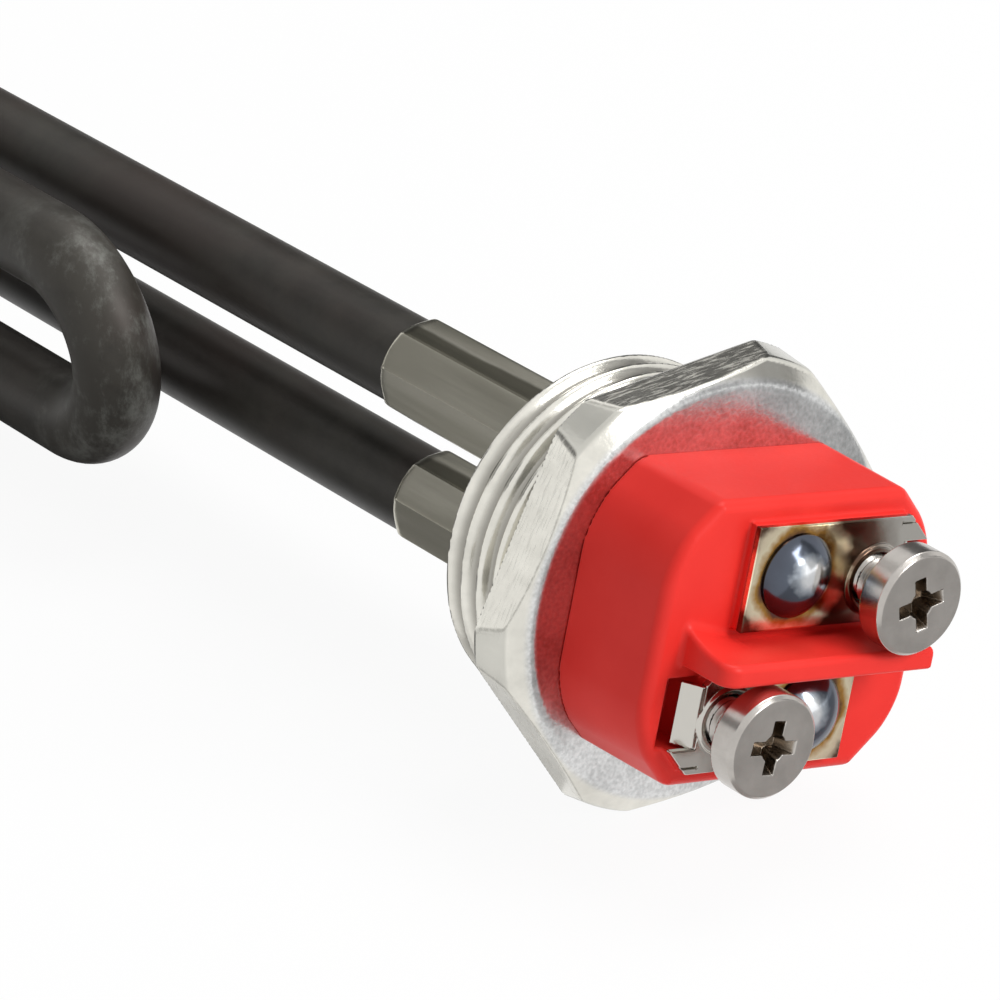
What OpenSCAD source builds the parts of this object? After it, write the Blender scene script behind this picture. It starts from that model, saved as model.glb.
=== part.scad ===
// Screw plug immersion heater with a folded tubular element.
// X runs along the heater: terminals at +X, element at -X.
// X = 0 is the seating face of the hexagon, Z is up, the hexagon lies on a flat.

/* [Plug] */
// Width of the hexagon across its flats
hex_af = 40; // [39.4:0.1:46]
// Thickness of the hexagon
hex_t = 4.9; // [4:0.1:9]
// Diameter over the turned corners at the seat
corner_d = 44.2; // [42:0.1:46]
// Taper of the turned corners towards the front
corner_taper = 0.5; // [0.1:0.1:1]
// Width of the chamfer round the front face
chamfer_w = 2.2; // [0.6:0.1:3.4]
// Major diameter of the pipe thread
thread_d = 33.6; // [30:0.1:35.5]
// Length of the threaded shank
thread_len = 11.9; // [6:0.1:20]
// Lead-in chamfer on the end of the shank
thread_chamfer = 1.1; // [0.2:0.1:2]

/* [Terminal block] */
// Width of the moulded block
block_w = 30.8; // [30:0.1:34]
// Height of the moulded block
block_h = 26.4; // [25.5:0.1:32]
// Depth of the block from the hexagon to its face
block_t = 11.4; // [9:0.1:20]
// Size of the corner bevels seen from the front
block_bevel = 4.7; // [4:0.1:6]
// Rounding of the edges beside the block's top and bottom
block_round = 1.2; // [0.4:0.1:2]
// Rounding of the shoulders between the bevels and the sides
block_shoulder = 8; // [2:0.5:9]
// Turn of the block against the hexagon
block_roll = -14.4; // [-60:0.1:60]
// Height of the raised pad under each plate
pad_h = 0.8; // [0.4:0.1:2]
// Height of the barrier above the block's face
barrier_h = 6.3; // [3:0.1:8]
// Thickness of the barrier where the screw heads leave room for it
barrier_t = 2.1; // [1.4:0.05:2.4]
// Right end of the barrier
barrier_right = 11.7; // [10:0.1:14]
// Left end of the barrier
barrier_left = 12.4; // [11.5:0.1:12.6]
// Rounding of the barrier's upper left corner
barrier_round = 1.7; // [0.5:0.1:2.5]
// Place where the barrier's left end starts to flare
flare_from = 6.7; // [5:0.1:8]
// Depth of the slot that takes the folded tab of a plate
slot_depth = 3.6; // [2.8:0.1:5]

/* [Terminals] */
// Thickness of the plates
plate_t = 0.7; // [0.5:0.1:1.2]
// Width of the plates
plate_w = 9.7; // [9:0.1:9.8]
// Height of the plates' middle line above the heater's axis
plate_mid = 6.45; // [6.3:0.05:6.9]
// Reach of a plate past the axis at its plain end
plate_inner = 7.35; // [6.8:0.05:9]
// Distance of the fold from the axis
plate_fold = 10; // [9.7:0.1:10.4]
// Width of the folded tab
tab_w = 5.8; // [4:0.1:6.2]
// Length of the folded tab
tab_len = 2.2; // [1.5:0.1:3]
// Angle of the fold below the plate
tab_angle = 52; // [35:1:70]
// Reach of the flat ear beside the tab
ear_reach = 2.8; // [1.5:0.1:3]
// Diameter of the terminal screws
screw_d = 4.7; // [3.5:0.1:5.2]
// Length of the screws under the head
screw_len = 9.5; // [8:0.1:11]
// Diameter of the screw heads
head_d = 9.7; // [8:0.1:10.5]
// Turn of the cross recess in the upper screw
upper_turn = 16.3; // [0:0.1:90]
// Turn of the cross recess in the lower screw
lower_turn = -3.3; // [-90:0.1:90]
// Thickness of the screw heads
head_t = 2.75; // [2.4:0.05:4]
// Space between a plate and the underside of the head
head_gap = 3.75; // [1.5:0.05:4.5]
// Distance of a screw from the axis along the plate
screw_along = 7; // [6.6:0.1:7.1]
// Drop of the upper screw below its plate's middle line
upper_drop = 0.75; // [0:0.05:0.8]
// Diameter of the raised collar round the screw hole
collar_d = 6.4; // [6.2:0.1:8]
// Height of the collar above the plate
collar_h = 0.5; // [0.2:0.1:0.9]
// Distance of a pin from the axis along the plate
pin_along = 2.2; // [1.8:0.1:2.6]
// Height of a pin above the axis
pin_up = 6.6; // [6.3:0.1:6.9]
// Diameter of the cold pins
pin_d = 3; // [2.4:0.1:3.3]
// Diameter of the riveted pin heads
dome_d = 7.7; // [5:0.1:8]
// Height of the riveted pin heads
dome_h = 2.1; // [1:0.1:3]

/* [Element] */
// Diameter of the sheath
sheath_d = 8.5; // [7.8:0.1:8.8]
// Wall of the sheath
sheath_wall = 0.75; // [0.5:0.05:1]
// Length of the element below the seating face
immersed_len = 330; // [220:1:500]
// Distance from the seating face to the nose of the return bend
nose_setback = 64.8; // [40:0.1:150]
// Spacing of the two return legs
return_spacing = 18.4; // [17.6:0.1:24]
// Distance of the return legs from the plane of the plug legs
return_offset = 12.7; // [12:0.1:18]
// Draw-down of the tube's radius in the bends
bend_draw = 0.02; // [0.01:0.005:0.025]
// Length of the crimped sleeves behind the thread
sleeve_len = 24.6; // [8:0.1:32]
// Width of the crimped sleeves across their flats
sleeve_af = 9.2; // [9.1:0.05:10.2]
// Unheated length of the pins below the seating face
cold_len = 52; // [30:1:60]
// Outer diameter of the resistance coil
coil_d = 4.6; // [4.2:0.1:5.4]
// Diameter of the resistance wire
wire_d = 0.6; // [0.4:0.05:0.65]
// Overlap of the coil and the pins
coil_lap = 8; // [4:1:12]

/* [Fits] */
// Clearance of the sheath in the plug and the sleeves
sheath_fit = 0.05; // [0.02:0.01:0.1]
// Clearance of the pieces packed inside the sheath
pack_fit = 0.03; // [0.02:0.01:0.06]
// Clearance of the screws in the plates
screw_fit = 0.2; // [0.15:0.05:0.3]
// Clearance of the pins in the plates and the block
pin_fit = 0.1; // [0.05:0.05:0.2]
// Clearance of a plate's tab in its slot
tab_fit = 0.35; // [0.2:0.05:0.5]
// Clearance of the barrier to the lower plate and the screw heads
barrier_fit = 0.2; // [0.1:0.05:0.4]
// Reach of the sheath into the block
sheath_reach = 2.1; // [1:0.1:4]
// Length of the insulating bushing in the sheath's mouth
bushing_len = 3.5; // [2:0.1:5]
// Thickness of the bushing's flange
bushing_flange = 0.8; // [0.5:0.1:1.5]
// Length of the moisture seal below the bushing
seal_len = 2.5; // [1:0.1:4]

/* [Hidden] */
$fn = 64;
// Cuts run this far past the faces they open
over = 1;
hex_r = hex_af / sqrt(3);
// The front chamfer is a cone of 30 degrees
rim_r = corner_d / 2 - corner_taper;
chamfer_h = chamfer_w * tan(30);
face_x = hex_t + block_t;
plate_x = face_x + pad_h;
plate_top = plate_x + plate_t;
head_x = plate_top + head_gap;
plate_low = plate_mid - plate_w / 2;
plate_high = plate_mid + plate_w / 2;
barrier_low = barrier_fit - min(plate_low, plate_mid - head_d / 2);
barrier_high = min(barrier_low + barrier_t, plate_mid - upper_drop - head_d / 2 - barrier_fit);
// The tab starts beside the ear and leaves a cut corner at the plate's other edge
tab_high = plate_high - ear_reach + 0.4;
tab_low = tab_high - tab_w;
slot_out = plate_fold + ear_reach + tab_fit;
well_d = screw_d + 2 * screw_fit;
function screw_up(lower) = lower ? plate_mid : plate_mid - upper_drop;
leg_r = norm([pin_along, pin_up]);
leg_angle = block_roll + atan2(pin_up, -pin_along);
sheath_r = sheath_d / 2;
bore_r = sheath_r - sheath_wall;
mouth_x = hex_t + sheath_reach;
seal_x = mouth_x - bushing_len;
fill_x = seal_x - seal_len;
coil_r = coil_d / 2;
return_r = return_spacing / 2;
return_x = -nose_setback - sheath_r - return_r;
// Straight ends of a bend inside its legs
bend_lap = 2;
// The far bends join a plug leg and a return leg
fold_across = return_r - leg_r;
fold_r = norm([fold_across, return_offset]) / 2;
fold_angle = atan2(return_offset, fold_across);
fold_x = -immersed_len + sheath_r + fold_r;

// Local axes: across, up, out along the heater
module facing() {
    rotate([90, 0, 90]) children();
}

module block_frame() {
    rotate([block_roll, 0, 0]) facing() children();
}

// Upper terminal as drawn, lower terminal turned half round
module terminal(lower) {
    block_frame() rotate(lower ? 180 : 0) children();
}

module at_pin(lower) {
    terminal(lower) translate([-pin_along, pin_up, 0]) children();
}

module ring(outer_r, inner_r, x0, x1) {
    translate([0, 0, x0]) difference() {
        cylinder(r = outer_r, h = x1 - x0);
        translate([0, 0, -over]) cylinder(r = inner_r, h = x1 - x0 + 2 * over);
    }
}

// Octagon with one rounding beside its top and bottom and another at its shoulders
module rounded_octagon(w, h, bevel, edge, shoulder) {
    tips = [
        [w / 2, h / 2 - bevel], [w / 2 - bevel, h / 2],
        [bevel - w / 2, h / 2], [-w / 2, h / 2 - bevel],
        [-w / 2, bevel - h / 2], [bevel - w / 2, -h / 2],
        [w / 2 - bevel, -h / 2], [w / 2, bevel - h / 2]
    ];
    radii = [for (i = [0:7]) i % 4 == 0 || i % 4 == 3 ? shoulder : edge];
    middles = [for (i = [0:7])
        tips[i] - radii[i] / cos(22.5) * [cos(45 * i + 22.5), sin(45 * i + 22.5)]];
    // Each round runs a hair past the flats and is trimmed by them
    intersection() {
        polygon(tips);
        union() {
            polygon([for (i = [0:7], side = [0, 1])
                middles[i] + radii[i] * [cos(45 * (i + side)), sin(45 * (i + side))]]);
            for (i = [0:7]) translate(middles[i]) circle(r = radii[i] + 0.02);
        }
    }
}

module plate_outline() {
    polygon([
        [-plate_inner, plate_low],
        [plate_fold - (tab_low - plate_low), plate_low],
        [plate_fold, tab_low],
        [plate_fold, plate_high - ear_reach + 0.4],
        [plate_fold + ear_reach, plate_high - ear_reach + 0.4],
        [plate_fold + 0.4, plate_high],
        [-plate_inner, plate_high]
    ]);
}

// Barrier between the terminals, its left end flared at the foot and rounded at the crest
module barrier() {
    thick = barrier_high - barrier_low;
    crest = face_x + barrier_h;
    translate([-flare_from, barrier_low, face_x])
        cube([barrier_right + flare_from, thick, barrier_h]);
    hull() {
        translate([0, barrier_high, 0]) rotate([90, 0, 0]) linear_extrude(thick) {
            translate([-barrier_left, face_x])
                square([barrier_left - flare_from, barrier_h - barrier_round]);
            translate([-flare_from - 1, face_x]) square([1, barrier_h]);
            translate([barrier_round - barrier_left, crest - barrier_round]) circle(r = barrier_round);
        }
        translate([0, 0, face_x]) linear_extrude(0.2) polygon([
            [-flare_from, barrier_low], [-barrier_left, barrier_low], [-barrier_left, barrier_high + 1.6]
        ]);
    }
}

// Slot for a plate's tab, between the pad and the block's rim
module tab_slot() {
    translate([plate_fold - tab_fit, tab_low - tab_fit, face_x - slot_depth])
        cube([slot_out - plate_fold + tab_fit, tab_w + 1.5 * tab_fit, slot_depth + pad_h + over]);
}

module screw_plug() {
    color("lightsteelblue") difference() {
        facing() union() {
            intersection() {
                cylinder(r = hex_r, h = hex_t, $fn = 6);
                rotate_extrude() polygon([
                    [0, 0], [corner_d / 2 - 0.5, 0], [corner_d / 2, 0.3],
                    [rim_r, hex_t - chamfer_h], [rim_r - chamfer_w, hex_t], [0, hex_t]
                ]);
            }
            rotate_extrude() polygon([
                [0, -thread_len], [thread_d / 2 - thread_chamfer, -thread_len],
                [thread_d / 2, thread_chamfer - thread_len], [thread_d / 2, 0], [0, 0]
            ]);
        }
        for (lower = [false, true]) at_pin(lower)
            translate([0, 0, -thread_len - over])
                cylinder(r = sheath_r + sheath_fit, h = thread_len + hex_t + 2 * over);
    }
}

module terminal_block() {
    color("red") difference() {
        block_frame() difference() {
            union() {
                translate([0, 0, hex_t]) linear_extrude(block_t)
                    rounded_octagon(block_w, block_h, block_bevel, block_round, block_shoulder);
                for (turn = [0, 180]) rotate(turn)
                    translate([0, 0, face_x]) linear_extrude(pad_h) plate_outline();
            }
            for (turn = [0, 180]) rotate(turn) tab_slot();
        }
        for (lower = [false, true]) {
            terminal(lower) translate([screw_along, screw_up(lower), plate_top - screw_len])
                cylinder(d = well_d, h = screw_len);
            at_pin(lower) {
                translate([0, 0, hex_t - over]) cylinder(d = pin_d + 2 * pin_fit, h = block_t + pad_h + 2 * over);
                translate([0, 0, hex_t - over]) cylinder(
                    r = sheath_r + sheath_fit, h = over + sheath_reach + bushing_flange + pin_fit);
            }
        }
    }
}

module terminal_barrier() {
    color("red") block_frame() barrier();
}

module terminal_plate(lower) {
    color("silver") terminal(lower) {
        difference() {
            union() {
                translate([0, 0, plate_x]) linear_extrude(plate_t) plate_outline();
                translate([screw_along, screw_up(lower), plate_x])
                    cylinder(d = collar_d, h = plate_t + collar_h);
            }
            translate([screw_along, screw_up(lower), plate_x - over])
                cylinder(d = well_d, h = plate_t + collar_h + 2 * over);
            translate([-pin_along, pin_up, plate_x - over])
                cylinder(d = pin_d + 2 * pin_fit, h = plate_t + 2 * over);
        }
        // Folded tab, bent about the plate's lower edge
        translate([plate_fold, tab_low, plate_x]) rotate([-90, 0, 0]) mirror([0, 1, 0])
            linear_extrude(tab_w) polygon([
                [0, 0],
                tab_len * [cos(tab_angle), -sin(tab_angle)],
                tab_len * [cos(tab_angle), -sin(tab_angle)] + plate_t * [sin(tab_angle), cos(tab_angle)],
                for (a = [90 - tab_angle:tab_angle / 4:90]) plate_t * [cos(a), sin(a)]
            ]);
    }
}

module terminal_screw(lower) {
    color("gainsboro") terminal(lower) translate([screw_along, screw_up(lower), head_x]) difference() {
        union() {
            rotate_extrude() polygon([
                [0, 0], [head_d / 2 - 0.2, 0], [head_d / 2, 0.2],
                [head_d / 2, head_t - 0.35], [head_d / 2 - 0.35, head_t], [0, head_t]
            ]);
            translate([0, 0, -screw_len]) rotate_extrude() polygon([
                [0, 0], [screw_d / 2 - 0.6, 0], [screw_d / 2, 0.6], [screw_d / 2, screw_len], [0, screw_len]
            ]);
        }
        for (turn = [0, 90]) rotate(turn + (lower ? lower_turn : upper_turn))
            translate([-head_d / 4, -0.65, head_t * 0.4]) cube([head_d / 2, 1.3, head_t]);
    }
}

module cold_pin(lower) {
    dome_r = (pow(dome_d / 2, 2) + pow(dome_h, 2)) / (2 * dome_h);
    sweep = asin(dome_d / 2 / dome_r);
    color("lightgray") at_pin(lower) {
        translate([0, 0, -cold_len]) cylinder(d = pin_d, h = cold_len + plate_top);
        translate([0, 0, plate_top]) rotate_extrude() polygon(concat([[0, 0]], [
            for (i = [0:16]) [dome_r * sin(sweep * (1 - i / 16)), dome_r * cos(sweep * (1 - i / 16)) + dome_h - dome_r]
        ]));
    }
}

module sleeve(lower) {
    color("darkgray") at_pin(lower) translate([0, 0, -thread_len - sleeve_len]) difference() {
        // One pair of flats faces the other leg
        rotate(atan2(pin_up, -pin_along) - 22.5)
            cylinder(d = sleeve_af / cos(22.5), h = sleeve_len, $fn = 8);
        translate([0, 0, -over]) cylinder(r = sheath_r + sheath_fit, h = sleeve_len + 2 * over);
    }
}

// One leg along X in the element's own axes
module leg(across, off, x0, x1, r) {
    translate([x0, across, off]) rotate([0, 90, 0]) cylinder(r = r, h = x1 - x0);
}

// Half-circle bend in the plane of X and the direction at angle turn, with straight ends inside the legs
module bend(x, across, off, turn, bend_r, r, side) {
    translate([x, across, off]) rotate([turn, 0, 0]) rotate(side * 90) {
        rotate_extrude(angle = 180) translate([bend_r, 0]) circle(r = r - bend_draw);
        for (end = [-1, 1]) translate([end * bend_r, 0, 0]) rotate([90, 0, 0])
            cylinder(r = r - bend_draw, h = bend_lap);
    }
}

// Solid rod of radius r along the whole folded route, from x1 on one plug leg to x1 on the other
module folded_rod(r, x1) {
    rotate([leg_angle, 0, 0]) union() {
        for (side = [1, -1]) {
            leg(side * leg_r, 0, fold_x, x1, r);
            leg(side * return_r, return_offset, fold_x, return_x, r);
            bend(fold_x, side * (leg_r + return_r) / 2, return_offset / 2,
                90 + side * (fold_angle - 90), fold_r, r, 1);
        }
        bend(return_x, 0, return_offset, 0, return_r, r, -1);
    }
}

module heater_sheath() {
    color("dimgray") difference() {
        folded_rod(sheath_r, mouth_x);
        folded_rod(bore_r, mouth_x + over);
    }
}

module resistance_coil() {
    color("peru") difference() {
        folded_rod(coil_r, coil_lap - cold_len);
        folded_rod(coil_r - wire_d, coil_lap - cold_len + over);
    }
}

module magnesia_fill() {
    color("white") {
        difference() {
            folded_rod(bore_r - pack_fit, fill_x);
            folded_rod(coil_r + pack_fit, coil_lap - cold_len + pack_fit);
            for (lower = [false, true]) at_pin(lower)
                translate([0, 0, -cold_len]) cylinder(r = pin_d / 2 + pack_fit, h = cold_len + fill_x + over);
        }
        folded_rod(coil_r - wire_d - pack_fit, -cold_len - pack_fit);
    }
}

module mouth_seal(lower) {
    color("sienna") at_pin(lower) ring(bore_r - pack_fit, pin_d / 2 + pack_fit, fill_x, seal_x);
}

module pin_bushing(lower) {
    color("ivory") at_pin(lower) {
        ring(bore_r - pack_fit, pin_d / 2 + pack_fit, seal_x, mouth_x);
        ring(sheath_r, pin_d / 2 + pack_fit, mouth_x, mouth_x + bushing_flange);
    }
}

screw_plug();
terminal_block();
terminal_barrier();
terminal_plate(false);  // upper_terminal_plate
terminal_plate(true);  // lower_terminal_plate
terminal_screw(false);  // upper_terminal_screw
terminal_screw(true);  // lower_terminal_screw
cold_pin(false);  // upper_cold_pin
cold_pin(true);  // lower_cold_pin
sleeve(false);  // upper_sleeve
sleeve(true);  // lower_sleeve
heater_sheath();
resistance_coil();
magnesia_fill();
mouth_seal(false);  // upper_mouth_seal
mouth_seal(true);  // lower_mouth_seal
pin_bushing(false);  // upper_pin_bushing
pin_bushing(true);  // lower_pin_bushing
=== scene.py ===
import math

import bpy
import numpy as np
from mathutils import Matrix, Vector


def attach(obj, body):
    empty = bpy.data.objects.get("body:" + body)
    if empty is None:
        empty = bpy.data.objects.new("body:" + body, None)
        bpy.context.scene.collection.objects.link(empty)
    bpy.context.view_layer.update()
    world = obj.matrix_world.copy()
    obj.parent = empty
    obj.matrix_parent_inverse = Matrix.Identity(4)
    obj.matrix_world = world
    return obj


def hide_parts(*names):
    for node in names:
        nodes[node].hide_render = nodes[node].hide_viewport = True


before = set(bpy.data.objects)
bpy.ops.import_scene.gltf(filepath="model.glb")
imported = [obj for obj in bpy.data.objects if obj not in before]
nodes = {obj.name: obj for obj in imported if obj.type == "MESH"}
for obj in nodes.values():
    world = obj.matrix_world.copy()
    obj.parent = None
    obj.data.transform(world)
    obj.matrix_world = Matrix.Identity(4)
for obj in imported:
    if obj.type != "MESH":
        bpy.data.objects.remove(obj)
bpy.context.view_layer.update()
mm = 0.001
sides = dict(upper=1, lower=-1)
print("frame loaded,", len(nodes), "nodes")

# what several pieces share, in millimetres and degrees
heater = dict(
    hexFlats=40.0, hexThick=4.9,
    faceX=16.3, plateTop=17.8,  # face of the block, outer side of the plates
    roll=-14.4,  # lean of the block against the hexagon
    pinAlong=2.2, pinUp=6.6)  # pins, from the block's middle
legTurn = heater["roll"] + math.degrees(math.atan2(heater["pinUp"], -heater["pinAlong"]))
legRadius = math.hypot(heater["pinUp"], heater["pinAlong"])
rollTurn = math.radians(heater["roll"])
blockTurn = np.array([[1, 0, 0],
                      [0, math.cos(rollTurn), -math.sin(rollTurn)],
                      [0, math.sin(rollTurn), math.cos(rollTurn)]])


class Wire:
    # a node's output that takes part in sums
    def __init__(self, paint, socket):
        self.paint = paint
        self.socket = socket

    def __add__(self, other):
        return self.paint.maths("ADD", self, other)

    def __radd__(self, other):
        return self.paint.maths("ADD", other, self)

    def __sub__(self, other):
        return self.paint.maths("SUBTRACT", self, other)

    def __rsub__(self, other):
        return self.paint.maths("SUBTRACT", other, self)

    def __mul__(self, other):
        return self.paint.maths("MULTIPLY", self, other)

    def __rmul__(self, other):
        return self.paint.maths("MULTIPLY", other, self)

    def __truediv__(self, other):
        return self.paint.maths("DIVIDE", self, other)

    def __rtruediv__(self, other):
        return self.paint.maths("DIVIDE", other, self)

    def rise(self, low, high, start=0.0, end=1.0):
        # eases from start to end between low and high
        return self.paint.node("ShaderNodeMapRange", {"interpolation_type": "SMOOTHSTEP"},
                               {"Value": self, "From Min": low, "From Max": high,
                                "To Min": start, "To Max": end})

    def fall(self, low, high):
        return self.rise(low, high, 1.0, 0.0)


class Paint:
    # the nodes of one material, or of the world
    def __init__(self, owner, fixed, shader="Principled BSDF"):
        owner.use_nodes = True
        self.owner = owner
        self.tree = owner.node_tree
        self.shader = self.tree.nodes[shader]
        self.set(fixed)

    def node(self, kind, settings, sockets, output=0):
        made = self.tree.nodes.new(kind)
        for key, value in settings.items():
            if key == "stops":
                ramp = made.color_ramp.elements
                while len(ramp) < len(value):
                    ramp.new(0.5)
                for stop, (place, colour) in zip(ramp, value):
                    stop.position = place
                    stop.color = (*colour, 1)
            else:
                setattr(made, key, value)
        for key, value in sockets.items():
            self.feed(made.inputs[key], value)
        return Wire(self, made.outputs[output])

    def feed(self, socket, value):
        if isinstance(value, Wire):
            self.tree.links.new(value.socket, socket)
        elif socket.type == "RGBA":
            socket.default_value = (*value, 1)
        else:
            socket.default_value = value

    def set(self, sockets):
        for key, value in sockets.items():
            self.feed(self.shader.inputs[key], value)

    def maths(self, operation, *terms):
        return self.node("ShaderNodeMath", {"operation": operation}, dict(enumerate(terms)))

    def place(self):
        return self.node("ShaderNodeTexCoord", {}, {}, "Object")

    def axis(self, letter):
        return self.node("ShaderNodeSeparateXYZ", {}, {0: self.place()}, letter)

    def reach(self, spot):
        # distance from a point of the row frame, in millimetres
        away = self.node("ShaderNodeVectorMath", {"operation": "DISTANCE"},
                         {0: self.place(), 1: [v * mm for v in spot]}, "Value")
        return away * (1 / mm)

    def noise(self, scale, detail, stretch=None, rough=0.55):
        where = self.place()
        if stretch:
            where = self.node("ShaderNodeVectorMath", {"operation": "MULTIPLY"}, {0: where, 1: stretch})
        return self.node("ShaderNodeTexNoise", {},
                         {"Vector": where, "Scale": scale, "Detail": detail, "Roughness": rough})

    def mix(self, factor, first, second):
        return self.node("ShaderNodeMix", {"data_type": "RGBA"}, {0: factor, 6: first, 7: second}, 2)

    def ramp(self, factor, stops):
        return self.node("ShaderNodeValToRGB", {"stops": stops}, {0: factor})

    def bump(self, height, strength, depth):
        self.set({"Normal": self.node("ShaderNodeBump", {},
                                      {"Height": height, "Strength": strength, "Distance": depth})})

    def seen(self, least, most):
        # most for what the camera, metal and glass see, least for light that falls on things
        camera, metal, glass = (self.node("ShaderNodeLightPath", {}, {}, "Is " + ray + " Ray")
                                for ray in ("Camera", "Glossy", "Transmission"))
        return (camera + metal + glass).rise(0.0, 1.0, least, most)


def newPaint(name, fixed):
    return Paint(bpy.data.materials.new(name), fixed)


def inBlock(y, z):
    # block coordinates to the row frame
    return (blockTurn @ (0, y, z))[1:]


def addObject(name, data):
    made = bpy.data.objects.new(name, data)
    bpy.context.scene.collection.objects.link(made)
    return made


def addPiece(name, points, faces, paint, body, stands, normals=None, crease=None, blocked=False):
    # points in millimetres, in the row frame or, when blocked, in block coordinates
    points = np.array(points, float)
    if blocked:
        points = points @ blockTurn.T
        normals = None if normals is None else normals @ blockTurn.T
    mesh = bpy.data.meshes.new(name)
    mesh.from_pydata((points * mm).tolist(), [], [list(map(int, f)) for f in faces])
    mesh.validate()
    mesh.polygons.foreach_set("use_smooth", [True] * len(mesh.polygons))
    mesh.update()
    if normals is not None:
        mesh.normals_split_custom_set_from_vertices(normals.tolist())
    if crease:
        mesh.set_sharp_from_angle(angle=math.radians(crease))
    mesh.materials.append(paint.owner)
    piece = addObject(name, mesh)
    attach(piece, body)
    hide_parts(*stands)
    print(name, len(mesh.polygons), "faces")


def roundMax(a, b, r):
    # intersection with a rounded edge
    return np.minimum(-r, np.maximum(a, b)) + np.hypot(np.maximum(r + a, 0), np.maximum(r + b, 0))


def roundMin(a, b, r):
    # union with a filleted corner
    return np.maximum(r, np.minimum(a, b)) - np.hypot(np.maximum(r - a, 0), np.maximum(r - b, 0))


def polygonField(y, z, corners):
    # signed distance to a polygon
    corners = np.array(corners, float)
    best, sign = None, None
    for (ay, az), (by, bz) in zip(corners, np.roll(corners, -1, 0)):
        ey, ez = by - ay, bz - az
        wy, wz = y - ay, z - az
        t = np.clip((wy * ey + wz * ez) / (ey * ey + ez * ez), 0, 1)
        away = (wy - ey * t) ** 2 + (wz - ez * t) ** 2
        best = away if best is None else np.minimum(best, away)
        above, below, left = z >= az, z < bz, ey * wz > ez * wy
        flip = (above & below & left) | (~above & ~below & ~left)
        sign = flip if sign is None else sign ^ flip
    return np.where(sign, -1, 1) * np.sqrt(best)


def netMesh(field, low, high, step):
    # surface net of a field that is negative inside, its points drawn onto the surface
    axes = [np.arange(a, b + step, step) for a, b in zip(low, high)]
    values = field(axes[0][:, None, None], axes[1][None, :, None], axes[2][None, None, :])
    inside = values < 0
    cells = np.array(values.shape) - 1
    corners = [(i, j, k) for i in (0, 1) for j in (0, 1) for k in (0, 1)]
    total = sum(inside[i:cells[0] + i, j:cells[1] + j, k:cells[2] + k].astype(np.int8) for i, j, k in corners)
    mixed = (total > 0) & (total < len(corners))
    number = np.full(mixed.shape, -1)
    number[mixed] = np.arange(mixed.sum())
    where = np.argwhere(mixed)

    # one point for each mixed cell, in the middle of where its edges are cut
    points = np.zeros((len(where), 3))
    count = np.zeros(len(where))
    for start in corners:
        for axis in range(3):
            if start[axis]:
                continue
            end = list(start)
            end[axis] = 1
            a = values[tuple((where + start).T)]
            b = values[tuple((where + end).T)]
            cut = (a < 0) != (b < 0)
            spot = np.tile(np.array(start, float), (len(where), 1))
            spot[:, axis] = np.where(cut, a / np.where(cut, a - b, 1), 0)
            points += np.where(cut[:, None], spot, 0)
            count += cut
    points = (where + points / count[:, None]) * step + np.array(low)

    # one face for each grid edge that crosses the surface
    faces = []
    for axis in range(3):
        order = (axis, (axis + 1) % 3, (axis + 2) % 3)
        near = np.moveaxis(inside, order, (0, 1, 2))
        table = np.moveaxis(number, order, (0, 1, 2))
        a, b = near[:-1, 1:-1, 1:-1], near[1:, 1:-1, 1:-1]
        for crossed, flip in ((a & ~b, False), (b & ~a, True)):
            i, j, k = np.argwhere(crossed).T
            ring = [table[i, j, k], table[i, j + 1, k], table[i, j + 1, k + 1], table[i, j, k + 1]]
            faces.append(np.stack(ring[::-1] if flip else ring, 1))

    def slopeAt(spots):
        tiny = step * 0.02
        slope = np.stack([(field(*(spots + tiny * e).T) - field(*(spots - tiny * e).T)) / (2 * tiny)
                          for e in np.eye(3)], 1)
        return slope, np.maximum((slope ** 2).sum(1), 0.05)  # so that no point jumps where it is flat

    for pull in range(3):
        slope, steep = slopeAt(points)
        move = slope * (field(*points.T) / steep)[:, None]
        points = points - np.clip(move, -step / 2, step / 2)
    slope, steep = slopeAt(points)
    return points, np.concatenate(faces), slope / np.sqrt(steep)[:, None]


def gridFaces(rows, columns):
    # quads between rings of points, closed all round
    faces = []
    for i in range(rows - 1):
        for j in range(columns):
            k = (j + 1) % columns
            faces.append(((i + 1) * columns + j, (i + 1) * columns + k, i * columns + k, i * columns + j))
    return faces


def lathe(profile, columns):
    # profile of (x, r) pairs, closed at both ends by a point on the axis
    turns = np.linspace(0, 2 * math.pi, columns, endpoint=False)
    points = [(x, r * math.cos(t), r * math.sin(t)) for x, r in profile for t in turns]
    faces = gridFaces(len(profile), columns)
    for row in (0, len(profile) - 1):
        points.append((profile[row][0], 0, 0))
        for j in range(columns):
            pair = (row * columns + j, row * columns + (j + 1) % columns)
            faces.append((*(pair if row == 0 else pair[::-1]), len(points) - 1))
    return np.array(points), faces


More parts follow.
